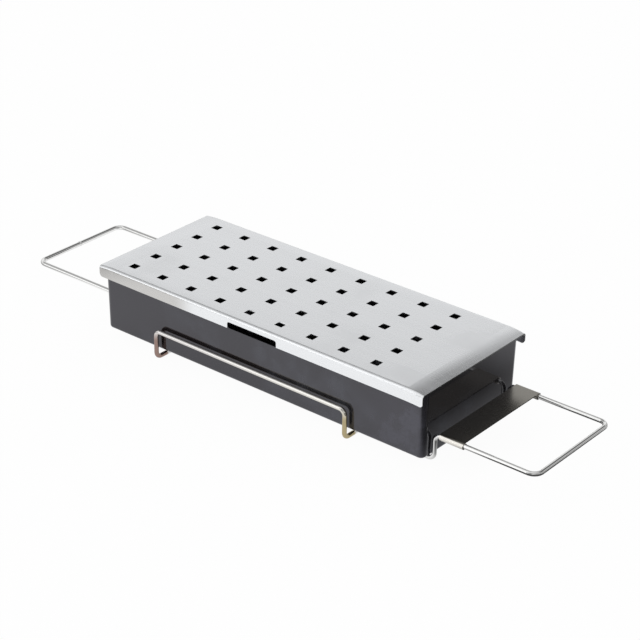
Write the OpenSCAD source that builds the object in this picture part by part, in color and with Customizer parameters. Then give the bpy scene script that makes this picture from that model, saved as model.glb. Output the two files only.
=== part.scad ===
// Grill smoker box: an enamelled chip tray with a perforated steel lid,
// carried in a bent wire cradle that has a handle at each end.
// Millimetres, +Z up. The origin is on the standing plane, under the middle of the cradle.

/* [Tray] */
// Outer length at the top of the end walls
tray_l = 262.5; // [220:0.5:320]
// Outer width at the top of the end walls
tray_w = 97; // [84:1:130]
// Height from the underside to the top of the rims
tray_h = 47; // [38:1:58]
// Thickness of the tray's sheet
tray_t = 0.8; // [0.6:0.1:1]
// Outer radius of the upright corners at the top
tray_corner_r = 4.5; // [3:0.25:10]
// Outer radius along the bottom edges
tray_bottom_r = 2; // [1.5:0.1:2.2]
// Lean of the walls, in degrees
tray_draft = 1; // [0.25:0.25:1.25]
// Width of the folded rim on each long side, over the wall and the lip
rim_w = 4; // [3.5:0.25:6]
// Length of the rim's turned-down lip
rim_lip = 3; // [2.5:0.25:5]
// Outer radius of the rim's folds
rim_fold_r = 1.2; // [1.1:0.05:1.25]
// How far the end walls stop below the rims
end_drop = 1.5; // [1.5:0.1:2.4]

/* [Lid] */
// Thickness of the lid's sheet
lid_t = 0.8; // [0.6:0.1:1.2]
// Overhang of a centred lid beyond each end of the tray
lid_overhang = 0.6; // [0.2:0.1:3]
// Where the loose lid lies along the tray, from the middle
lid_shift = 0.8; // [-1:0.1:1]
// Height of the flanges along the long sides
flange_h = 8.4; // [6:0.2:14]
// Outer radius of the fold between the top and a flange
lid_fold_r = 2; // [1.6:0.1:2.6]
// Radius of the lower corners at the ends of the flanges
flange_corner_r = 2.5; // [1:0.25:5]
// Length over which each end of the lid bows down
bow_l = 12; // [5:0.5:12]
// Drop of the lid's end edges
bow_drop = 0.7; // [0.5:0.1:1.5]
// Gap between the rim's lip and the flange, on each side
lid_clear = 0.6; // [0.4:0.1:1.2]
// Gap between the rims and the lid's underside
lid_seat = 0.1; // [0.05:0.05:0.3]

/* [Smoke holes] */
// Side of each square hole
hole_side = 5.75; // [3:0.25:8]
// Distance between columns, along the length
hole_pitch_l = 25; // [18:0.5:26]
// Distance between rows, across the width
hole_pitch_w = 20; // [12:0.5:21]
// Number of columns
hole_cols = 9; // [3:1:9]
// Number of rows
hole_rows = 5; // [1:2:5]
// Offset of the hole field from the middle of the lid
hole_shift = -12.4; // [-15:0.2:15]

/* [Finger notch] */
// Width of the notch in the front flange
notch_w = 40; // [20:1:80]
// Height of the notch above the flange's lower edge
notch_h = 4.4; // [4:0.2:5.6]
// Radius of the notch's upper corners
notch_r = 1.5; // [0.5:0.25:2]
// Extra width, on each side, of the relief behind the notch in the tray's front wall
relief_side = 4; // [2:0.5:8]
// Depth of the relief below the top of the rims
relief_h = 10.6; // [6:0.2:14]
// Radius of the relief's lower corners
relief_r = 3; // [1:0.5:5]

/* [Wire cradle] */
// Diameter of the wire
wire_d = 3; // [2.5:0.1:3.5]
// Centre-line radius of the bends under and beside the tray
bend_r = 4; // [3.5:0.1:4.2]
// Length from one handle's crossbar to the other's, on the centre line
handle_span = 409; // [380:1:480]
// Distance between the two arms of a handle, on the centre line
arm_spacing = 78; // [60:1:78]
// Centre-line radius of the handles' corners
handle_corner_r = 6; // [4:0.5:15]
// Rise from the runs under the tray to the right handle's arms
right_rise = 17; // [12:0.5:28]
// Rise from the runs under the tray to the left handle's arms
left_rise = 23; // [12:0.5:28]
// Gap between the wire's uprights and the tray's end walls
end_gap = 0.5; // [0.3:0.1:2]
// Gap between the tray's underside and the wire
tray_seat = 0.2; // [0.1:0.05:0.3]

/* [Side rails] */
// Distance between a rail's two legs, on the centre line
rail_l = 157; // [100:1:200]
// Offset of the rails from the middle of the tray
rail_shift = -4.3; // [-10:0.1:10]
// Gap between the tray's side wall, at its top, and a rail
rail_gap = 1.2; // [0.8:0.1:6]
// Rise from the feet to the rails
rail_rise = 19.6; // [12:0.1:28]

/* [Handle plate] */
// Length of the plate along the arms
plate_l = 17; // [10:0.5:30]
// Thickness of the plate's sheet
plate_t = 0.7; // [0.5:0.1:1]
// Gap between the wire and the rolled edges
plate_gap = 0.1; // [0.05:0.05:0.2]
// Gap between the rolled edges and the bend below the arms
plate_offset = 0.3; // [0.1:0.1:10]
// How far round the wire each edge is rolled, in degrees
plate_wrap = 285; // [220:5:300]

/* [Welds] */
// Gap that a weld fills where the two wires cross
cross_gap = 0.2; // [0.1:0.05:0.4]
// Radius of the welds where the wires cross
cross_weld_r = 1.2; // [0.8:0.05:1.2]
// Width of the weld bead that closes the wire
weld_w = 1.2; // [0.8:0.1:3]
// Height of the bead above the wire
weld_rise = 0.3; // [0.1:0.05:0.8]

/* [Hidden] */
$fn = 64;
// Overrun of a cutting shape past the surface it cuts
cut = 1;

wire_r = wire_d / 2;
foot_z = wire_r;
// Distance between the centre lines of the two wires where they cross
cross_h = wire_d + cross_gap;
run_z = foot_z + cross_h;

tray_base_z = run_z + wire_r + tray_seat;
end_wall_h = tray_h - end_drop;
side_wall_h = tray_h - rim_lip;
corner_x = tray_l / 2 - tray_corner_r;
corner_y = tray_w / 2 - tray_corner_r;
// Outward lean of the tray's walls at a height above its underside
function lean(z) = z * tan(tray_draft);
// Radius of the upright corners at the underside
foot_r = tray_corner_r - lean(end_wall_h);
wall_t = tray_t / cos(tray_draft);
// Inner face of a long wall where its rim starts, from the corner axis
rim_inner = foot_r + lean(side_wall_h) - wall_t;
rim_outer_y = corner_y + rim_inner + rim_w;

lid_w = 2 * (rim_outer_y + lid_clear + lid_t);
lid_l = tray_l + 2 * lid_overhang;
lid_top_z = tray_base_z + tray_h + lid_seat + lid_t;
bow_r = (bow_l * bow_l + bow_drop * bow_drop) / (2 * bow_drop);
bow_x = lid_l / 2 - bow_l;
// Half length of the tray's rims, which stop where the lid starts to bow or a corner to turn
rim_x = min(bow_x - abs(lid_shift), corner_x - tray_t);
// Sweep that carries even the flange's lower edge past the lid's end
bow_sweep = asin(bow_l / (bow_r - flange_h)) + cut;

arm_y = arm_spacing / 2;
crossbar_x = handle_span / 2;
rail_y = tray_w / 2 + rail_gap + wire_r;
// Half length of the tray at a height above the standing plane
function tray_end_x(z) = tray_l / 2 - lean(end_wall_h + tray_base_z - z);
upright_x = tray_end_x(run_z + max(left_rise, right_rise)) + end_gap + wire_r;
right_z = run_z + right_rise;
left_z = run_z + left_rise;

rail_left_x = rail_shift - rail_l / 2;
rail_right_x = rail_shift + rail_l / 2;
rail_z = foot_z + rail_rise;

plate_x = upright_x + bend_r + plate_offset;
sleeve_inner_r = wire_r + plate_gap;
sleeve_outer_r = sleeve_inner_r + plate_t;

weld_point = [-crossbar_x, 0, left_z];

// Corners of each length of the wire: a point and the radius of the bend there
left_arm_path = [
    [weld_point - [0, weld_w / 2, 0], 0],
    [[-crossbar_x, -arm_y, left_z], handle_corner_r],
    [[-upright_x, -arm_y, left_z], bend_r],
    [[-upright_x, -arm_y, run_z], bend_r],
    [[0, -arm_y, run_z], 0]
];
rail_path = [
    [[rail_left_x, 0, foot_z], 0],
    [[rail_left_x, -rail_y, foot_z], bend_r],
    [[rail_left_x, -rail_y, rail_z], bend_r],
    [[rail_right_x, -rail_y, rail_z], bend_r],
    [[rail_right_x, -rail_y, foot_z], bend_r],
    [[rail_right_x, 0, foot_z], 0]
];
right_handle_path = [
    [[0, -arm_y, run_z], 0],
    [[upright_x, -arm_y, run_z], bend_r],
    [[upright_x, -arm_y, right_z], bend_r],
    [[crossbar_x, -arm_y, right_z], handle_corner_r],
    [[crossbar_x, arm_y, right_z], handle_corner_r],
    [[upright_x, arm_y, right_z], bend_r],
    [[upright_x, arm_y, run_z], bend_r],
    [[0, arm_y, run_z], 0]
];

function unit(v) = v / norm(v);
// Direction of a path's straight run i, which starts at its corner i
function heading(path, i) = unit(path[i + 1][0] - path[i][0]);
// Axis and angle of the bend at corner i
function bend_axis(path, i) = cross(heading(path, i - 1), heading(path, i));
function bend_angle(path, i) = acos(heading(path, i - 1) * heading(path, i));
// Turn of the wire about itself between the bends at corners i - 1 and i
function roll(path, i) =
    i == 1 ? 0 : atan2(
        cross(bend_axis(path, i - 1), bend_axis(path, i)) * heading(path, i - 1),
        bend_axis(path, i - 1) * bend_axis(path, i)
    );
// Length that the bend at corner i takes from each of its straight runs
function setback(path, i) =
    path[i][1] == 0 ? 0 : path[i][1] * tan(bend_angle(path, i) / 2);
// Straight length fed between the bends at corners i and i + 1
function feed(path, i) =
    norm(path[i + 1][0] - path[i][0]) - setback(path, i) - setback(path, i + 1);

// Block with its upper corners rounded: centred on x, with its top at y = 0
module fold_block(w, h, r) {
    translate([-w / 2, -h])
        square([w, h - r]);
    translate([r - w / 2, -2 * r])
        square([w - 2 * r, 2 * r]);
    for (side = [-1, 1])
        translate([side * (w / 2 - r), -r])
            circle(r);
}

// Sheet folded down along both sides
module folded_channel(w, h, t, r) {
    difference() {
        fold_block(w, h, r);
        translate([0, -t])
            fold_block(w - 2 * t, h, r - t);
    }
}

// Half of an upright section through a pan: base, rounded edge and leaning wall
module pan_half(base_x, edge_r, h) {
    edge_x = base_x - edge_r * (1 - sin(tray_draft)) / cos(tray_draft);
    polygon([
        [0, 0],
        [edge_x, 0],
        [edge_x + edge_r * cos(tray_draft), edge_r - edge_r * sin(tray_draft)],
        [base_x + lean(h), h],
        [0, h]
    ]);
    intersection() {
        translate([edge_x, edge_r])
            circle(edge_r);
        square([base_x + lean(h), h]);
    }
}

// Sheet section of the tray, from a corner's axis out to the wall
module pan_section(h) {
    difference() {
        pan_half(foot_r, tray_bottom_r, h);
        translate([0, tray_t])
            pan_half(foot_r + lean(tray_t) - wall_t, tray_bottom_r - tray_t, h);
    }
}

// Long wall with its folded rim, from a corner's axis outwards
module rimmed_section() {
    pan_section(side_wall_h);
    translate([rim_inner + rim_w / 2, tray_h])
        folded_channel(rim_w, rim_lip, wall_t, rim_fold_r);
}

// Formed sheet of the tray, with its underside at z = 0
module tray_sheet() {
    translate([-corner_x, -corner_y, 0])
        cube([2 * corner_x, 2 * corner_y, tray_t]);
    for (side = [0, 1])
        mirror([0, side, 0])
            translate([-rim_x, corner_y, 0])
                rotate([90, 0, 90])
                    linear_extrude(2 * rim_x)
                        rimmed_section();
    for (end = [0, 1])
        mirror([end, 0, 0]) {
            translate([corner_x, corner_y, 0])
                rotate([90, 0, 0])
                    linear_extrude(2 * corner_y)
                        pan_section(end_wall_h);
            for (side = [0, 1])
                mirror([0, side, 0]) {
                    translate([rim_x, corner_y, 0])
                        rotate([90, 0, 90])
                            linear_extrude(corner_x - rim_x)
                                pan_section(end_wall_h);
                    translate([corner_x, corner_y, 0])
                        rotate_extrude(angle = 90)
                            pan_section(end_wall_h);
                }
        }
}

// Cut-out in the front rim and wall that lets a fingertip under the lid at its notch
module finger_relief() {
    translate([0, -corner_y, tray_h - relief_h])
        rotate([-90, 0, 180])
            linear_extrude(tray_w / 2)
                fold_block(notch_w + 2 * relief_side, relief_h + cut, relief_r);
}

module tray() {
    color([0.14, 0.14, 0.15])
    translate([0, 0, tray_base_z])
        difference() {
            tray_sheet();
            finger_relief();
        }
}

// Folded sheet of the lid, its ends bowed down, with its top at z = 0
module lid_sheet() {
    for (end = [0, 1])
        mirror([end, 0, 0]) {
            rotate([90, 0, 90])
                linear_extrude(bow_x)
                    folded_channel(lid_w, flange_h, lid_t, lid_fold_r);
            translate([bow_x, 0, -bow_r])
                rotate([0, -90, -90])
                    rotate_extrude(angle = bow_sweep)
                        translate([bow_r, 0])
                            rotate(-90)
                                folded_channel(lid_w, flange_h, lid_t, lid_fold_r);
        }
}

// Square-cornered waste outside a rounded lower corner of the flanges
module flange_corner_waste() {
    translate([lid_l / 2 - flange_corner_r, 0, flange_corner_r - flange_h])
        rotate([90, 0, 0])
            linear_extrude(lid_w + 2 * cut, center = true)
                difference() {
                    translate([0, -flange_corner_r - cut])
                        square(flange_corner_r + cut);
                    circle(flange_corner_r);
                }
}

module smoke_holes() {
    for (col = [0:hole_cols - 1], row = [0:hole_rows - 1])
        translate([
            hole_shift + (col - (hole_cols - 1) / 2) * hole_pitch_l,
            (row - (hole_rows - 1) / 2) * hole_pitch_w,
            0
        ])
            cube([hole_side, hole_side, 2 * (lid_t + cut)], center = true);
}

module finger_notch() {
    translate([0, -lid_w / 2, notch_h - flange_h])
        rotate([90, 0, 0])
            linear_extrude(2 * (lid_t + cut), center = true)
                fold_block(notch_w, notch_h + cut, notch_r);
}

module lid() {
    color([0.8, 0.8, 0.82])
    translate([lid_shift, 0, lid_top_z])
        difference() {
            intersection() {
                lid_sheet();
                translate([-lid_l / 2, -lid_w / 2, -flange_h])
                    cube([lid_l, lid_w, flange_h]);
            }
            for (end = [0, 1])
                mirror([end, 0, 0])
                    flange_corner_waste();
            smoke_holes();
            finger_notch();
        }
}

// Bend that starts along +Z at the origin and turns towards +X
module wire_bend(r, angle) {
    translate([r, 0, 0])
        mirror([1, 0, 0])
            rotate([90, 0, 0])
                rotate_extrude(angle = angle)
                    translate([r, 0])
                        circle(wire_r);
}

// A path's wire from run i to its end, as a bender forms it: feed, roll and bend in turn
module wire_from(path, i) {
    cylinder(h = feed(path, i), r = wire_r);
    if (path[i + 1][1] > 0)
        translate([0, 0, feed(path, i)])
            rotate([0, 0, roll(path, i + 1)]) {
                wire_bend(path[i + 1][1], bend_angle(path, i + 1));
                translate([path[i + 1][1], 0, 0])
                    rotate([0, bend_angle(path, i + 1), 0])
                        translate([-path[i + 1][1], 0, 0])
                            wire_from(path, i + 1);
            }
}

// A length of bent wire, with its first bend in the plane that the path gives
module bent_wire(path) {
    start = path[0][0];
    along = heading(path, 0);
    across = unit(bend_axis(path, 1));
    side = cross(across, along);
    color([0.78, 0.77, 0.74])
    multmatrix([
        [side.x, across.x, along.x, start.x],
        [side.y, across.y, along.y, start.y],
        [side.z, across.z, along.z, start.z]
    ])
        wire_from(path, 0);
}

module left_front_arm() {
    bent_wire(left_arm_path);
}

module left_back_arm() {
    mirror([0, 1, 0])
        bent_wire(left_arm_path);
}

module front_rail() {
    bent_wire(rail_path);
}

module back_rail() {
    mirror([0, 1, 0])
        bent_wire(rail_path);
}

module right_handle() {
    bent_wire(right_handle_path);
}

// Section of one edge of the plate, rolled over the top of the wire and round under it
module rolled_edge() {
    difference() {
        circle(sleeve_outer_r);
        circle(sleeve_inner_r);
        rotate(90 + plate_wrap)
            intersection() {
                square(2 * sleeve_outer_r);
                rotate(270 - plate_wrap)
                    square(2 * sleeve_outer_r);
            }
    }
}

module handle_plate() {
    color([0.55, 0.53, 0.5])
    translate([plate_x, 0, right_z])
        rotate([90, 0, 90])
            linear_extrude(plate_l) {
                translate([-arm_y, sleeve_inner_r])
                    square([2 * arm_y, plate_t]);
                translate([-arm_y, 0])
                    rolled_edge();
                translate([arm_y, 0])
                    mirror([1, 0])
                        rolled_edge();
            }
}

module butt_weld() {
    color([0.6, 0.59, 0.57])
    translate(weld_point)
        rotate([90, 0, 0])
            rotate_extrude()
                difference() {
                    union() {
                        translate([0, -weld_w / 2])
                            square([wire_r, weld_w]);
                        translate([wire_r + weld_rise - weld_w / 2, 0])
                            circle(weld_w / 2);
                    }
                    translate([-wire_d, -weld_w])
                        square([wire_d, 2 * weld_w]);
                }
}

// Weld between a run and the wire that crosses under it
module cross_weld(x, y) {
    color([0.6, 0.59, 0.57])
    translate([x, y, (foot_z + run_z) / 2])
        difference() {
            cylinder(h = cross_h, r = cross_weld_r, center = true);
            translate([0, 0, cross_h / 2])
                rotate([0, 90, 0])
                    cylinder(h = 2 * wire_d, r = wire_r, center = true);
            translate([0, 0, -cross_h / 2])
                rotate([90, 0, 0])
                    cylinder(h = 2 * wire_d, r = wire_r, center = true);
        }
}

module front_left_weld() {
    cross_weld(rail_left_x, -arm_y);
}

module front_right_weld() {
    cross_weld(rail_right_x, -arm_y);
}

module back_left_weld() {
    cross_weld(rail_left_x, arm_y);
}

module back_right_weld() {
    cross_weld(rail_right_x, arm_y);
}

tray();
lid();
left_front_arm();
left_back_arm();
front_rail();
back_rail();
right_handle();
handle_plate();
butt_weld();
front_left_weld();
front_right_weld();
back_left_weld();
back_right_weld();
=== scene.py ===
"""Looks of a grill smoker box: finishes of its sheet and wire, studio light and camera.

Places and lengths are in metres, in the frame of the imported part: x runs along the box towards
the handle with the plate, y to the back, and z up from the plane on which the box stands.
"""

import logging
import math
from dataclasses import dataclass, field
from enum import Enum

import bpy
from mathutils import Matrix, Vector


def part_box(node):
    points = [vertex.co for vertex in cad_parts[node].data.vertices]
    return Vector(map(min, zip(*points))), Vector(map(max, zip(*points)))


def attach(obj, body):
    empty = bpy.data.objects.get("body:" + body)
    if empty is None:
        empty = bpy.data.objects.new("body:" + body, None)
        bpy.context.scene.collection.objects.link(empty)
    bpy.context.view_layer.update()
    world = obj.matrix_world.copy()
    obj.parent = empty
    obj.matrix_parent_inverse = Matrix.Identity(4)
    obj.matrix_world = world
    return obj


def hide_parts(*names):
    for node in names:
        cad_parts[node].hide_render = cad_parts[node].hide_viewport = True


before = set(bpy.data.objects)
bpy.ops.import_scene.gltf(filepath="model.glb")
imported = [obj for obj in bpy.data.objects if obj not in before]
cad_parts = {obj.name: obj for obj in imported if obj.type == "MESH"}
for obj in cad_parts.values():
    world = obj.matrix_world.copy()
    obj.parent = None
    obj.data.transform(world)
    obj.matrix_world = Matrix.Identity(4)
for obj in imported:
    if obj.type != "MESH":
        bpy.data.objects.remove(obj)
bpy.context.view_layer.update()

LOG = logging.getLogger("smoker_box")

Span = tuple[float, float]
Tint = tuple[float, float, float]
Point = tuple[float, float, float]
Socket = bpy.types.NodeSocket
Number = float | Socket
Colour = Tint | Socket

RISING: Span = (0.0, 1.0)
NOISE_BULK: Span = (0.3, 0.7)
BLACK: Tint = (0.0, 0.0, 0.0)
UNSTRETCHED: Point = (1.0, 1.0, 1.0)


class Sum(Enum):
    """Sums that a Math node does."""

    ADD = "ADD"
    TIMES = "MULTIPLY"
    LARGER = "MAXIMUM"
    LESS = "SUBTRACT"
    SIZE = "ABSOLUTE"


class Axis(Enum):
    """Axes of the part, by their place in a point."""

    X = 0
    Y = 1
    Z = 2


class Lay(Enum):
    """Direction in which a sheet was brushed, as stretch along x, y and z."""

    LENGTHWAYS = (0.012, 1.0, 1.0)
    CROSSWAYS = (1.0, 0.02, 1.0)


class Wiring:
    """Lays and joins nodes in one node tree."""

    # Places of a Mix node's inputs for numbers and for colours, and of its output for colours.
    MIX_NUMBERS = (2, 3)
    MIX_COLOURS = (6, 7)
    MIX_COLOUR_OUT = 2

    def __init__(self, tree: bpy.types.NodeTree) -> None:
        """Keep the tree that gets the nodes."""
        self.tree = tree

    def node(self, kind: str, **settings: object) -> bpy.types.Node:
        """Add a node.

        Args:
            kind: Blender's name of the node type.
            settings: properties of the node, by name.

        Returns:
            The new node.
        """
        made = self.tree.nodes.new(kind)
        for name, value in settings.items():
            setattr(made, name, value)
        return made

    def feed(self, target: Socket, source: object) -> None:
        """Give an input a link from an output, or a plain value.

        Args:
            target: the input.
            source: an output, or a value of the input's kind.
        """
        if isinstance(source, Socket):
            self.tree.links.new(source, target)
        else:
            target.default_value = source

    def sum(self, kind: Sum, first: Number, second: Number = 0.0) -> Socket:
        """Add a Math node.

        Args:
            kind: what the node does.
            first: a number or an output.
            second: a number or an output.

        Returns:
            The node's output.
        """
        made = self.node("ShaderNodeMath", operation=kind.value)
        self.feed(made.inputs[0], first)
        self.feed(made.inputs[1], second)
        return made.outputs[0]

    def product(self, first: Number, *others: Number) -> Number:
        """Multiply numbers and outputs.

        Args:
            first: a number or an output.
            others: what it is multiplied by, in turn.

        Returns:
            The product, or the first one itself where it is alone.
        """
        for other in others:
            first = self.sum(Sum.TIMES, first, other)
        return first

    def span(self, source: Number, start: Span, end: tuple[Number, Number]) -> Socket:
        """Stretch a value smoothly from one span to another.

        Args:
            source: the value.
            start: two of its values, in either order.
            end: what those become; values past them are held.

        Returns:
            The stretched value.
        """
        made = self.node("ShaderNodeMapRange", interpolation_type="SMOOTHSTEP")
        for place, value in enumerate((source, *start, *end)):
            self.feed(made.inputs[place], value)
        return made.outputs[0]

    def tone(self, share: Number, first: Colour, second: Colour) -> Socket:
        """Mix two colours.

        Args:
            share: how much of the second one shows, from 0 to 1.
            first: a colour or an output.
            second: a colour or an output.

        Returns:
            The mixed colour.
        """
        made = self.node("ShaderNodeMix", data_type="RGBA")
        self.feed(made.inputs[0], share)
        for place, colour in zip(self.MIX_COLOURS, (first, second)):
            linked = isinstance(colour, Socket)
            self.feed(made.inputs[place], colour if linked else (*colour, 1.0))
        return made.outputs[self.MIX_COLOUR_OUT]

    def choose(self, mask: Number, first: Number, second: Number) -> Socket:
        """Choose between two numbers.

        Args:
            mask: 0 for the first one and 1 for the second.
            first: a number or an output.
            second: a number or an output.

        Returns:
            The chosen number.
        """
        made = self.node("ShaderNodeMix", data_type="FLOAT")
        self.feed(made.inputs[0], mask)
        for place, number in zip(self.MIX_NUMBERS, (first, second)):
            self.feed(made.inputs[place], number)
        return made.outputs[0]

    def cloud(self, point: Socket, scale: Number, layers: float = 1.0, rough: float = 0.5) -> Socket:
        """Add a soft noise.

        Args:
            point: where it is read.
            scale: its waves in a metre.
            layers: how many finer layers it has.
            rough: how strong the finer layers are.

        Returns:
            The noise, about 0.5 in the mean.
        """
        made = self.node("ShaderNodeTexNoise", noise_dimensions="3D")
        self.feed(made.inputs["Vector"], point)
        self.feed(made.inputs["Scale"], scale)
        self.feed(made.inputs["Detail"], layers)
        self.feed(made.inputs["Roughness"], rough)
        return made.outputs[0]

    def place(self, stretch: Point = UNSTRETCHED) -> Socket:
        """Read the piece's own coordinates.

        Args:
            stretch: factors along x, y and z.

        Returns:
            The coordinates.
        """
        coords = self.node("ShaderNodeTexCoord").outputs["Object"]
        if stretch == UNSTRETCHED:
            return coords
        mapped = self.node("ShaderNodeMapping")
        self.feed(mapped.inputs["Vector"], coords)
        self.feed(mapped.inputs["Scale"], stretch)
        return mapped.outputs[0]

    def axes(self, point: Socket) -> tuple[Socket, Socket, Socket]:
        """Take a point apart.

        Args:
            point: the point or direction.

        Returns:
            Its x, y and z.
        """
        made = self.node("ShaderNodeSeparateXYZ")
        self.feed(made.inputs[0], point)
        return tuple(made.outputs)

    def relief(self, height: Socket, strength: float, depth: float) -> Socket:
        """Turn a height into a normal.

        Args:
            height: the height, from 0 to 1.
            strength: how much of it shows.
            depth: metres from 0 to 1.

        Returns:
            The normal.
        """
        made = self.node("ShaderNodeBump")
        self.feed(made.inputs["Strength"], strength)
        self.feed(made.inputs["Distance"], depth)
        self.feed(made.inputs["Height"], height)
        return made.outputs[0]

    def rays(self) -> tuple[Socket, Socket]:
        """Tell kinds of rays apart.

        Returns:
            Masks of the camera's rays and of those that a mirroring or clear surface sends on.
        """
        kinds = self.node("ShaderNodeLightPath").outputs
        bent = self.sum(Sum.LARGER, kinds["Is Glossy Ray"], kinds["Is Transmission Ray"])
        return kinds["Is Camera Ray"], bent


class SharedEffects:
    """Node groups that more than one finish uses."""

    GRAIN_LAYERS = 2.0
    GRAIN_ROUGH = 0.6
    FINE_SHARE = 0.6
    BROAD_SHARE = 0.4
    BROAD_SCALE = 0.11
    PATCH_BULK: Span = (0.5, 0.68)
    WIPE_SCALE = 5.0
    WIPE_LAYERS = 4.0
    WIPE_STRENGTH: Span = (0.25, 1.0)

    def __init__(self) -> None:
        """Build each group once."""
        self.brushed_grain = self._brushed_grain()
        self.hand_smudges = self._hand_smudges()

    @staticmethod
    def _start(
        name: str, inputs: dict[str, str], outputs: dict[str, str]
    ) -> tuple[Wiring, bpy.types.Node, bpy.types.Node]:
        """Start a group.

        Args:
            name: the group's name.
            inputs: socket types by label.
            outputs: socket types by label.

        Returns:
            The group's wiring, its input node and its output node.
        """
        tree = bpy.data.node_groups.new(name, "ShaderNodeTree")
        for side, sockets in (("INPUT", inputs), ("OUTPUT", outputs)):
            for label, kind in sockets.items():
                tree.interface.new_socket(label, in_out=side, socket_type=kind)
        wiring = Wiring(tree)
        return wiring, wiring.node("NodeGroupInput"), wiring.node("NodeGroupOutput")

    def _brushed_grain(self) -> bpy.types.NodeTree:
        """Draw the streaks of a brushed sheet, fine ones over broad ones.

        Returns:
            The group.
        """
        w, given, out = self._start(
            "brushed_grain",
            {"Point": "NodeSocketVector", "Fineness": "NodeSocketFloat"},
            {"Streak": "NodeSocketFloat"},
        )
        point = given.outputs["Point"]
        fineness = given.outputs["Fineness"]
        fine = w.cloud(point, fineness, self.GRAIN_LAYERS, self.GRAIN_ROUGH)
        coarser = w.product(fineness, self.BROAD_SCALE)
        broad = w.cloud(point, coarser, self.GRAIN_LAYERS, self.GRAIN_ROUGH)
        over = w.product(fine, self.FINE_SHARE)
        under = w.product(broad, self.BROAD_SHARE)
        w.feed(out.inputs["Streak"], w.sum(Sum.ADD, over, under))
        return w.tree

    def _hand_smudges(self) -> bpy.types.NodeTree:
        """Draw the wiped patches that hands and packing leave on a face.

        Returns:
            The group.
        """
        w, given, out = self._start(
            "hand_smudges",
            {"Point": "NodeSocketVector", "Patches": "NodeSocketFloat"},
            {"Mask": "NodeSocketFloat"},
        )
        point = given.outputs["Point"]
        patches = given.outputs["Patches"]
        patch = w.span(w.cloud(point, patches), self.PATCH_BULK, RISING)
        finer = w.product(patches, self.WIPE_SCALE)
        wiped = w.span(w.cloud(point, finer, self.WIPE_LAYERS), NOISE_BULK, self.WIPE_STRENGTH)
        w.feed(out.inputs["Mask"], w.product(patch, wiped))
        return w.tree


@dataclass(frozen=True)
class Edge:
    """Soft limit of an area along one axis; with a middle, the same limit on both sides of it."""

    axis: Axis
    outside: float
    inside: float
    middle: float | None = None

    def share(self, w: Wiring) -> Socket:
        """Mark what lies within the limit.

        Args:
            w: wiring of the material.

        Returns:
            0 up to the outer place and 1 from the inner one on.
        """
        place = w.axes(w.place())[self.axis.value]
        if self.middle is not None:
            place = w.sum(Sum.SIZE, w.sum(Sum.LESS, place, self.middle))
        return w.span(place, (self.outside, self.inside), RISING)


@dataclass(frozen=True)
class Area:
    """Part of a piece that gets another colour within all of its edges; in some areas that colour is
    painted shade or a painted highlight.
    """

    tint: Tint
    edges: tuple[Edge, ...]

    def paint(self, w: Wiring, under: Colour, strength: Number = 1.0) -> Socket:
        """Lay the area's colour over another one, with a strength from 0 to 1."""
        shares = [edge.share(w) for edge in self.edges]
        return w.tone(w.product(*shares, strength), under, self.tint)


class Finish:
    """Start of every finish: a material with one Principled shader."""

    label: str

    def start(self) -> tuple[bpy.types.Material, Wiring, bpy.types.Node]:
        """Make the plain material.

        Returns:
            The material, its wiring and its shader.
        """
        material = bpy.data.materials.new(self.label)
        material.use_nodes = True
        shader = material.node_tree.nodes["Principled BSDF"]
        return material, Wiring(material.node_tree), shader

    @staticmethod
    def effect(w: Wiring, tree: bpy.types.NodeTree, **values: object) -> Socket:
        """Place a shared effect.

        Args:
            w: wiring of the material.
            tree: the effect.
            values: its inputs by label, in lower case.

        Returns:
            The effect's output.
        """
        made = w.node("ShaderNodeGroup", node_tree=tree)
        for label, value in values.items():
            w.feed(made.inputs[label.capitalize()], value)
        return made.outputs[0]


@dataclass(frozen=True)
class EnamelFinish(Finish):
    """Gloss black enamel: a slight orange peel, a few smudges, and the front's handled right end."""

    label: str = "black_enamel"
    base: Tint = (0.012, 0.0105, 0.011)
    smudged: Tint = (0.034, 0.036, 0.043)
    smudge_patches: float = 22.0
    sheen: Tint = (0.89, 0.885, 1.0)
    rough: Span = (0.06, 0.14)
    ior: float = 1.76
    handled: Area = Area(
        tint=(0.043, 0.043, 0.055),
        edges=(
            Edge(Axis.X, outside=0.070, inside=0.118),
            Edge(Axis.Y, outside=-0.0450, inside=-0.0475),
        ),
    )
    handled_patches: float = 55.0
    handled_bulk: Span = (0.0, 0.6)
    handled_strength: Span = (0.35, 1.0)
    peel_scale: float = 420.0
    peel_strength: float = 0.12
    peel_depth: float = 0.00012

    def material(self, shared: SharedEffects) -> bpy.types.Material:
        """Make the material.

        Args:
            shared: the effects that it places.

        Returns:
            The finished material.
        """
        made, w, shader = self.start()
        here = w.place()
        smudges = self.effect(w, shared.hand_smudges, point=here, patches=self.smudge_patches)
        touched = self.effect(w, shared.hand_smudges, point=here, patches=self.handled_patches)
        strength = w.span(touched, self.handled_bulk, self.handled_strength)
        colour = w.tone(smudges, self.base, self.smudged)
        w.feed(shader.inputs["Base Color"], self.handled.paint(w, colour, strength))
        w.feed(shader.inputs["Roughness"], w.span(smudges, RISING, self.rough))
        peel = w.cloud(here, self.peel_scale)
        w.feed(shader.inputs["Normal"], w.relief(peel, self.peel_strength, self.peel_depth))
        shader.inputs["IOR"].default_value = self.ior
        shader.inputs["Specular Tint"].default_value = (*self.sheen, 1.0)
        return made


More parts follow.
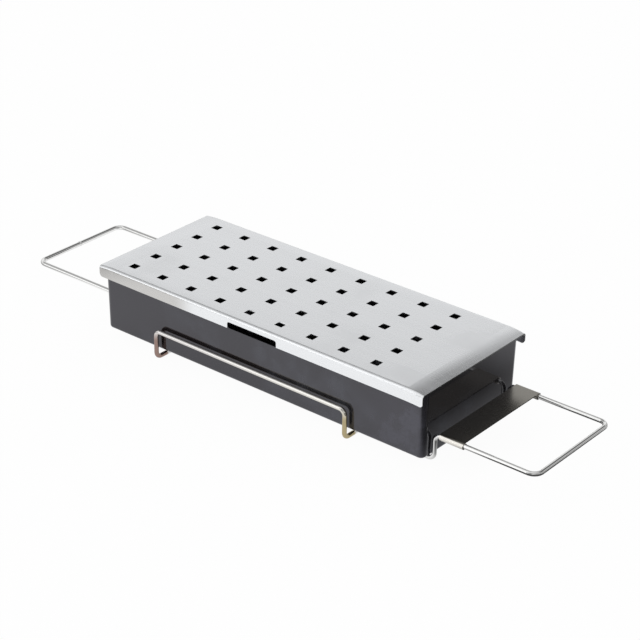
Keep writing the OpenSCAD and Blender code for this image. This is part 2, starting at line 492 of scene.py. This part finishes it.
@dataclass(frozen=True)
class BrushedFinish(Finish):
    """Bare sheet steel, brushed in one direction, with areas of other colours."""

    label: str
    lay: Lay
    light: Tint
    dark: Tint
    rough: Span
    fineness: float
    depth: float
    areas: tuple[Area, ...]
    relief_strength: float = 0.15
    smudge_patches: float = 16.0
    smudge_rough: float = 0.05

    def material(self, shared: SharedEffects) -> bpy.types.Material:
        """Make the material.

        Args:
            shared: the effects that it places.

        Returns:
            The finished material.
        """
        made, w, shader = self.start()
        shader.inputs["Metallic"].default_value = 1.0
        along = w.place(self.lay.value)
        streak = self.effect(w, shared.brushed_grain, point=along, fineness=self.fineness)
        colour = w.tone(w.span(streak, NOISE_BULK, RISING), self.dark, self.light)
        for area in self.areas:
            colour = area.paint(w, colour)
        w.feed(shader.inputs["Base Color"], colour)
        here = w.place()
        smudges = self.effect(w, shared.hand_smudges, point=here, patches=self.smudge_patches)
        duller = w.product(smudges, self.smudge_rough)
        brushed = w.span(streak, NOISE_BULK, self.rough)
        w.feed(shader.inputs["Roughness"], w.sum(Sum.ADD, brushed, duller))
        w.feed(shader.inputs["Normal"], w.relief(streak, self.relief_strength, self.depth))
        return made


@dataclass(frozen=True)
class PlatedFinish(Finish):
    """Bright plating on wire; the side rails' legs have gone copper on the left and gold on the right,
    and the rails' inner side gets the same cast as painted shade.
    """

    label: str = "plated_wire"
    base: Tint = (0.93, 0.93, 0.92)
    gold: Tint = (0.50, 0.42, 0.25)
    copper: Tint = (0.30, 0.185, 0.15)
    # Along x from one cast to the other.
    copper_to_gold: Span = (-0.070, 0.060)
    # Out from the middle of the box: where the stain and painted shade set in, and a rail's inner and
    # outer side.
    rail_out: Span = (0.0412, 0.0428)
    rail_sides: Span = (0.0500, 0.0522)
    # Up a leg the stain goes over to these shares of painted shade, on the rail's inner and outer side,
    # darker and browner where the rail faces the black wall.
    leg_up: Span = (0.014, 0.023)
    rail_shade_shares: Span = (0.95, 0.15)
    patches: float = 16.0
    patch_bulk: Span = (0.38, 0.62)
    patch_strength: Span = (0.92, 1.0)
    rough: Span = (0.06, 0.10)
    drawn_scale: float = 160.0
    drawn_strength: float = 0.1
    drawn_depth: float = 0.00001

    def material(self) -> bpy.types.Material:
        """Make the material.

        Returns:
            The finished material.
        """
        made, w, shader = self.start()
        shader.inputs["Metallic"].default_value = 1.0
        here = w.place()
        x, y, z = w.axes(here)
        cast = w.tone(w.span(x, self.copper_to_gold, RISING), self.copper, self.gold)
        outwards = w.sum(Sum.SIZE, y)
        on_rail = w.span(outwards, self.rail_out, RISING)
        shade_share_above = w.span(outwards, self.rail_sides, self.rail_shade_shares)
        height = w.span(z, self.leg_up, (1.0, shade_share_above))
        uneven = w.span(w.cloud(here, self.patches), self.patch_bulk, self.patch_strength)
        # Real stain on the legs; on the rails, painted shade, mostly on their inner side.
        stain_and_painted_shade = w.product(on_rail, height, uneven)
        w.feed(shader.inputs["Base Color"], w.tone(stain_and_painted_shade, self.base, cast))
        drawn = w.cloud(here, self.drawn_scale)
        w.feed(shader.inputs["Roughness"], w.span(drawn, NOISE_BULK, self.rough))
        w.feed(shader.inputs["Normal"], w.relief(drawn, self.drawn_strength, self.drawn_depth))
        return made


@dataclass
class SubAssembly:
    """A group of nodes of the frame that share a finish."""

    nodes: tuple[str, ...]
    shown: tuple[bpy.types.Object, ...] = field(default=(), kw_only=True)

    def dress(self, material: bpy.types.Material) -> None:
        """Give every node, and every piece shown for one, the material and report it.

        Args:
            material: the finish.
        """
        for piece in (*(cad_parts[name] for name in self.nodes), *self.shown):
            for slot in piece.material_slots:
                slot.material = material
            LOG.info("%s wears %s", piece.name, material.name)


@dataclass
class EnamelledTray(SubAssembly):
    """The enamelled pan that the lid covers."""

    nodes: tuple[str, ...] = ("tray",)


@dataclass
class SmokeLid(SubAssembly):
    """The perforated lid, with its right end drooping from further in."""

    nodes: tuple[str, ...] = ("lid",)
    droop_from: float = 0.1085
    droop_end: float = 0.1326
    droop: float = 0.00075
    droop_power: int = 4
    slices: int = 12
    same_place: float = 0.000001
    crease: float = 30.0
    # From outside to inside: the painted shade on the flange along x, and how far within the lid's box
    # the painted shade on the flange and on the end faces lies.
    flange_shade_along: Span = (-0.046, -0.066)
    flange_shade_within: Span = (0.000174, 0.000034)
    end_shade_within: Span = (0.00013, 0.00005)

    def steel(self) -> BrushedFinish:
        """Describe the sheet: painted shade on the front flange's left and on its end faces.

        Returns:
            The finish.
        """
        low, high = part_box("lid")
        middle = (low.x + high.x) / 2.0
        end = high.x - middle
        flange_shade_edges = (
            Edge(Axis.X, *self.flange_shade_along),
            Edge(Axis.Y, *(low.y + inset for inset in self.flange_shade_within)),
        )
        end_shade_edges = (Edge(Axis.X, *(end - inset for inset in self.end_shade_within), middle=middle),)
        return BrushedFinish(
            label="brushed_lid",
            lay=Lay.LENGTHWAYS,
            light=(0.95, 0.965, 0.985),
            dark=(0.935, 0.95, 0.97),
            rough=(0.252, 0.282),
            fineness=2200.0,
            depth=0.000012,
            areas=(
                # Painted shade: the front flange's left end is darker.
                Area(tint=(0.67, 0.66, 0.645), edges=flange_shade_edges),
                # Painted shade: the lid's end faces are dark.
                Area(tint=(0.16, 0.16, 0.16), edges=end_shade_edges),
            ),
        )

    def build(self) -> None:
        """Make the sheet that is shown in place of the lid."""
        bpy.ops.object.select_all(action="DESELECT")
        sheet = bpy.data.objects.new("lid_sheet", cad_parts["lid"].data.copy())
        bpy.context.scene.collection.objects.link(sheet)
        bpy.context.view_layer.objects.active = sheet
        sheet.select_set(True)
        self._slice()
        self._sink(sheet)
        bpy.ops.object.shade_smooth_by_angle(angle=math.radians(self.crease))
        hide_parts("lid")
        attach(sheet, "lid")
        self.shown = (sheet,)
        LOG.info("%s stands for the lid", sheet.name)

    def _slice(self) -> None:
        """Close the active sheet's loose triangles and cut its right end into slices."""
        bpy.ops.mesh.customdata_custom_splitnormals_clear()
        bpy.ops.object.mode_set(mode="EDIT")
        bpy.ops.mesh.select_all(action="SELECT")
        bpy.ops.mesh.remove_doubles(threshold=self.same_place)
        for step in range(self.slices):
            along = self.droop_from + step * (self.droop_end - self.droop_from) / self.slices
            bpy.ops.mesh.select_all(action="SELECT")
            bpy.ops.mesh.bisect(plane_co=(along, 0.0, 0.0), plane_no=(1.0, 0.0, 0.0))
        bpy.ops.mesh.select_all(action="SELECT")
        bpy.ops.mesh.normals_make_consistent(inside=False)
        bpy.ops.object.mode_set(mode="OBJECT")

    def _sink(self, sheet: bpy.types.Object) -> None:
        """Lower the right end, more and more towards its edge.

        Args:
            sheet: the sliced sheet, which is active.
        """
        low = sheet.vertex_groups.new(name="droop")
        for point in sheet.data.vertices:
            part = (point.co.x - self.droop_from) / (self.droop_end - self.droop_from)
            if part > 0.0:
                low.add([point.index], min(part, 1.0) ** self.droop_power, "REPLACE")
        lower = sheet.modifiers.new("droop", "DISPLACE")
        lower.direction = "Z"
        lower.mid_level = 0.0
        lower.strength = -self.droop
        lower.vertex_group = low.name
        bpy.ops.object.modifier_apply(modifier=lower.name)


@dataclass
class WireCradle(SubAssembly):
    """The two bent wire loops: both handles with their runs, and the side rails."""

    nodes: tuple[str, ...] = (
        "left_front_arm",
        "left_back_arm",
        "front_rail",
        "back_rail",
        "right_handle",
    )


@dataclass
class HandlePlate(SubAssembly):
    """The brace across the right handle, its sides rolled round the wire."""

    nodes: tuple[str, ...] = ("handle_plate",)
    # From outside to inside: the painted shade along y, and how far within the plate's box the rolls with
    # their painted highlight lie.
    plate_shade_across: Span = (0.034, 0.012)
    roll_within: Span = (0.0038, 0.0023)
    roll_below: Span = (0.0003, 0.0008)

    def steel(self) -> BrushedFinish:
        """Describe the sheet: painted shade but for its back, and a painted highlight on the rolls.

        Returns:
            The finish.
        """
        low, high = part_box("handle_plate")
        middle = (low.y + high.y) / 2.0
        side = high.y - middle
        plate_shade_edges = (Edge(Axis.Y, *self.plate_shade_across),)
        roll_highlight_edges = (
            Edge(Axis.Y, *(side - inset for inset in self.roll_within), middle=middle),
            Edge(Axis.Z, *(high.z - drop for drop in self.roll_below)),
        )
        return BrushedFinish(
            label="bright_plate",
            lay=Lay.CROSSWAYS,
            light=(0.34, 0.325, 0.295),
            dark=(0.32, 0.305, 0.275),
            rough=(0.24, 0.27),
            fineness=2600.0,
            depth=0.000005,
            areas=(
                # Painted shade: the plate is darker but for its back, where it mirrors the dark end wall.
                Area(tint=(0.20, 0.19, 0.17), edges=plate_shade_edges),
                # Painted highlight: pale ivory rolls, where the sleeves catch the light.
                Area(tint=(0.95, 0.92, 0.86), edges=roll_highlight_edges),
            ),
        )


@dataclass
class WireWelds(SubAssembly):
    """The bead that closes the handles' loop and the spots where the two loops cross."""

    nodes: tuple[str, ...] = (
        "butt_weld",
        "front_left_weld",
        "front_right_weld",
        "back_left_weld",
        "back_right_weld",
    )


@dataclass(frozen=True)
class SoftBox:
    """A square or oblong lamp with a soft edge to its shadow."""

    label: str
    stand: Point
    size: Span
    watts: float
    aim: Point = (0.0, 0.0, 0.04)

    def build(self) -> None:
        """Hang the lamp, turned to what it lights and out of the camera's sight."""
        data = bpy.data.lights.new(self.label, "AREA")
        data.shape = "RECTANGLE"
        data.size, data.size_y = self.size
        data.energy = self.watts
        lamp = bpy.data.objects.new(self.label, data)
        bpy.context.scene.collection.objects.link(lamp)
        lamp.location = self.stand
        lamp.visible_camera = False
        away = Vector(self.stand) - Vector(self.aim)
        lamp.rotation_euler = away.to_track_quat("Z", "Y").to_euler()
        LOG.info("lamp %s", self.label)


@dataclass(frozen=True)
class PaleFloor:
    """Floor that is all but white to the camera and keeps a faint shadow.

    All other rays find painted shade on its right, standing in for the floor's shadow there, and shaded
    paper far on its left.
    """

    side: float = 8.0
    colour: Tint = (0.94, 0.94, 0.94)
    white: float = 0.96
    mirrored: float = 0.60
    # Painted shade on the floor's right, seen only in reflections, standing in for the floor's shadow
    # there.
    right_shade_edge: Span = (0.118, 0.165)
    right_shade_back: Span = (0.05, 0.13)
    right_shade_back_share: float = 0.35
    right_shade_level: float = 0.08
    paper_edge: Span = (-0.235, -0.185)
    paper_level: float = 0.45

    def build(self) -> None:
        """Lay the floor."""
        bpy.ops.object.select_all(action="DESELECT")
        bpy.ops.mesh.primitive_plane_add(size=self.side)
        floor = bpy.context.active_object
        floor.name = "floor"
        floor.data.materials.append(self._material())
        LOG.info("%s", floor.name)

    def _material(self) -> bpy.types.Material:
        """Mix matt paper with plain white.

        Returns:
            The floor's material.
        """
        made = bpy.data.materials.new("pale_floor")
        made.use_nodes = True
        nodes = made.node_tree.nodes
        nodes.remove(nodes["Principled BSDF"])
        w = Wiring(made.node_tree)
        from_camera, bent = w.rays()
        level = w.sum(Sum.LARGER, from_camera, self._level(w))
        matt = w.node("ShaderNodeBsdfDiffuse")
        w.feed(matt.inputs["Color"], w.tone(level, BLACK, self.colour))
        white = w.node("ShaderNodeEmission")
        w.feed(white.inputs["Strength"], level)
        seen = w.product(from_camera, self.white)
        mirrored = w.product(bent, self.mirrored)
        both = w.node("ShaderNodeMixShader")
        shares = (w.sum(Sum.LARGER, seen, mirrored), matt.outputs[0], white.outputs[0])
        for target, source in zip(both.inputs, shares):
            w.feed(target, source)
        w.feed(nodes["Material Output"].inputs["Surface"], both.outputs[0])
        return made

    def _level(self, w: Wiring) -> Socket:
        """Darken the floor by the painted shade on its right and the shaded paper on its left.

        Args:
            w: wiring of the floor.

        Returns:
            Its level, from 0 to 1.
        """
        x, y, _ = w.axes(w.place())
        beside = w.span(x, self.right_shade_edge, (0.0, 1.0 - self.right_shade_level))
        before = w.span(y, self.right_shade_back, (1.0, self.right_shade_back_share))
        # Painted shade on the floor's right, weaker towards the back.
        shade_on_right = w.sum(Sum.LESS, 1.0, w.product(beside, before))
        paper = w.span(x, self.paper_edge, (self.paper_level, 1.0))
        return w.product(shade_on_right, paper)


@dataclass(frozen=True)
class WhiteSweep:
    """Surroundings: white to the camera, an even fill, and a shaded sweep in reflections.

    The sweep is dark overhead, dimmer near the horizon and in front, and has a dark screen on the
    right. Spans are of the direction's x, y or z.
    """

    fill_level: float = 0.80
    sweep_level: float = 0.90
    overhead: Span = (0.47, 0.62)
    overhead_level: float = 0.18
    overhead_back: Span = (-0.20, 0.60)
    overhead_front: float = 0.60
    zenith: Span = (0.78, 0.93)
    zenith_share: float = 0.35
    horizon: Span = (0.30, 0.45)
    horizon_level: float = 0.80
    front_edge: Span = (-0.80, -0.35)
    front_left: Span = (-0.49, -0.37)
    front_right: Span = (0.15, 0.50)
    front_level: float = 0.45
    screen_side: Point = (0.9, 0.43, 0.0)
    screen_edge: Span = (-0.05, 0.60)
    screen_foot: Span = (0.0, 0.12)
    screen_top: Span = (0.26, 0.38)
    screen_top_share: float = 0.30
    screen_level: float = 0.22

    def build(self) -> None:
        """Make the world and give it to the scene."""
        world = bpy.data.worlds.new("white_sweep")
        world.use_nodes = True
        bpy.context.scene.world = world
        w = Wiring(world.node_tree)
        towards = w.node("ShaderNodeTexCoord").outputs["Generated"]
        x, y, z = w.axes(towards)
        ceiling = self._ceiling(w, y, z)
        front = self._front(w, x, y, z)
        screen = self._screen(w, towards, z)
        sweep = w.product(ceiling, front, screen, self.sweep_level)
        from_camera, bent = w.rays()
        level = w.choose(bent, self.fill_level, sweep)
        back = world.node_tree.nodes["Background"]
        back.inputs["Color"].default_value = (1.0, 1.0, 1.0, 1.0)
        w.feed(back.inputs["Strength"], w.choose(from_camera, level, 1.0))
        LOG.info("surroundings %s", world.name)

    def _ceiling(self, w: Wiring, y: Socket, z: Socket) -> Socket:
        """Darken what is overhead, less in front and at the very top.

        Args:
            w: wiring of the world.
            y: how far a direction points to the back.
            z: how far it points up.

        Returns:
            The level, from 0 to 1.
        """
        high = w.span(z, self.overhead, (0.0, 1.0 - self.overhead_level))
        behind = w.span(y, self.overhead_back, (self.overhead_front, 1.0))
        topmost = w.span(z, self.zenith, (1.0, self.zenith_share))
        return w.sum(Sum.LESS, 1.0, w.product(high, behind, topmost))

    def _front(self, w: Wiring, x: Socket, y: Socket, z: Socket) -> Socket:
        """Dim what is near the horizon and a strip in front.

        Args:
            w: wiring of the world.
            x: how far a direction points to the right.
            y: how far it points to the back.
            z: how far it points up.

        Returns:
            The level, from 0 to 1.
        """
        low = w.span(z, self.horizon, (self.horizon_level, 1.0))
        ahead = w.span(y, self.front_edge, (self.front_level, 1.0))
        leftwards = w.span(x, self.front_left, (1.0, self.front_level))
        rightwards = w.span(x, self.front_right, (self.front_level, 1.0))
        aside = w.sum(Sum.LARGER, leftwards, rightwards)
        return w.product(low, w.sum(Sum.LARGER, ahead, aside))

    def _screen(self, w: Wiring, towards: Socket, z: Socket) -> Socket:
        """Darken a low screen on the right.

        Args:
            w: wiring of the world.
            towards: the direction.
            z: how far it points up.

        Returns:
            The level, from 0 to 1.
        """
        facing = w.node("ShaderNodeVectorMath", operation="DOT_PRODUCT")
        w.feed(facing.inputs[0], towards)
        w.feed(facing.inputs[1], self.screen_side)
        sideways = w.span(facing.outputs["Value"], self.screen_edge, RISING)
        raised = w.span(z, self.screen_foot, (0.0, 1.0 - self.screen_level))
        lowered = w.span(z, self.screen_top, (1.0, self.screen_top_share))
        return w.sum(Sum.LESS, 1.0, w.product(sideways, raised, lowered))


@dataclass(frozen=True)
class Studio:
    """The floor, the surroundings and two soft lamps at the front left."""

    floor: PaleFloor = PaleFloor()
    sweep: WhiteSweep = WhiteSweep()
    lamps: tuple[SoftBox, ...] = (
        SoftBox("key_panel", stand=(-0.52, -1.05, 1.15), size=(1.0, 1.1), watts=2.0),
        SoftBox("low_panel", stand=(-0.62, -1.05, 0.20), size=(0.8, 0.30), watts=0.6),
    )

    def build(self) -> None:
        """Set the plain view and build the studio's parts."""
        bpy.context.scene.view_settings.view_transform = "Standard"
        for part in (self.floor, self.sweep, *self.lamps):
            part.build()


@dataclass(frozen=True)
class PhotoCamera:
    """Camera at the photograph's viewing angle; angles in degrees, lens and sensor in millimetres."""

    azimuth: float = 38.9188
    elevation: float = 27.4157
    roll: float = 1.0
    distance: float = 1.21602
    target: Point = (0.027938, -0.0193515, 0.0543)
    lens: float = 110.225
    sensor: float = 36.0

    def build(self) -> None:
        """Make the camera and give it to the scene."""
        angles = (self.azimuth, self.elevation, self.roll)
        azimuth, elevation, roll = (math.radians(angle) for angle in angles)
        flat = math.cos(elevation)
        back = Vector((math.sin(azimuth) * flat, -math.cos(azimuth) * flat, math.sin(elevation)))
        level = Vector((math.cos(azimuth), math.sin(azimuth), 0.0))
        upright = back.cross(level)
        right = math.cos(roll) * level + math.sin(roll) * upright
        up = math.cos(roll) * upright - math.sin(roll) * level
        data = bpy.data.cameras.new("photo_camera")
        data.lens = self.lens
        data.sensor_width = self.sensor
        camera = bpy.data.objects.new("photo_camera", data)
        bpy.context.scene.collection.objects.link(camera)
        turn = Matrix((right, up, back)).transposed().to_4x4()
        stand = Vector(self.target) + self.distance * back
        camera.matrix_world = Matrix.Translation(stand) @ turn
        bpy.context.scene.camera = camera
        LOG.info("%s", camera.name)


def main() -> None:
    """Set the camera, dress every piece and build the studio."""
    logging.basicConfig(level=logging.INFO, format="%(name)s: %(message)s")
    PhotoCamera().build()
    shared = SharedEffects()
    EnamelledTray().dress(EnamelFinish().material(shared))
    lid = SmokeLid()
    lid.build()
    lid.dress(lid.steel().material(shared))
    plated = PlatedFinish().material()
    WireCradle().dress(plated)
    plate = HandlePlate()
    plate.dress(plate.steel().material(shared))
    WireWelds().dress(plated)
    Studio().build()


if __name__ == "__main__":
    main()
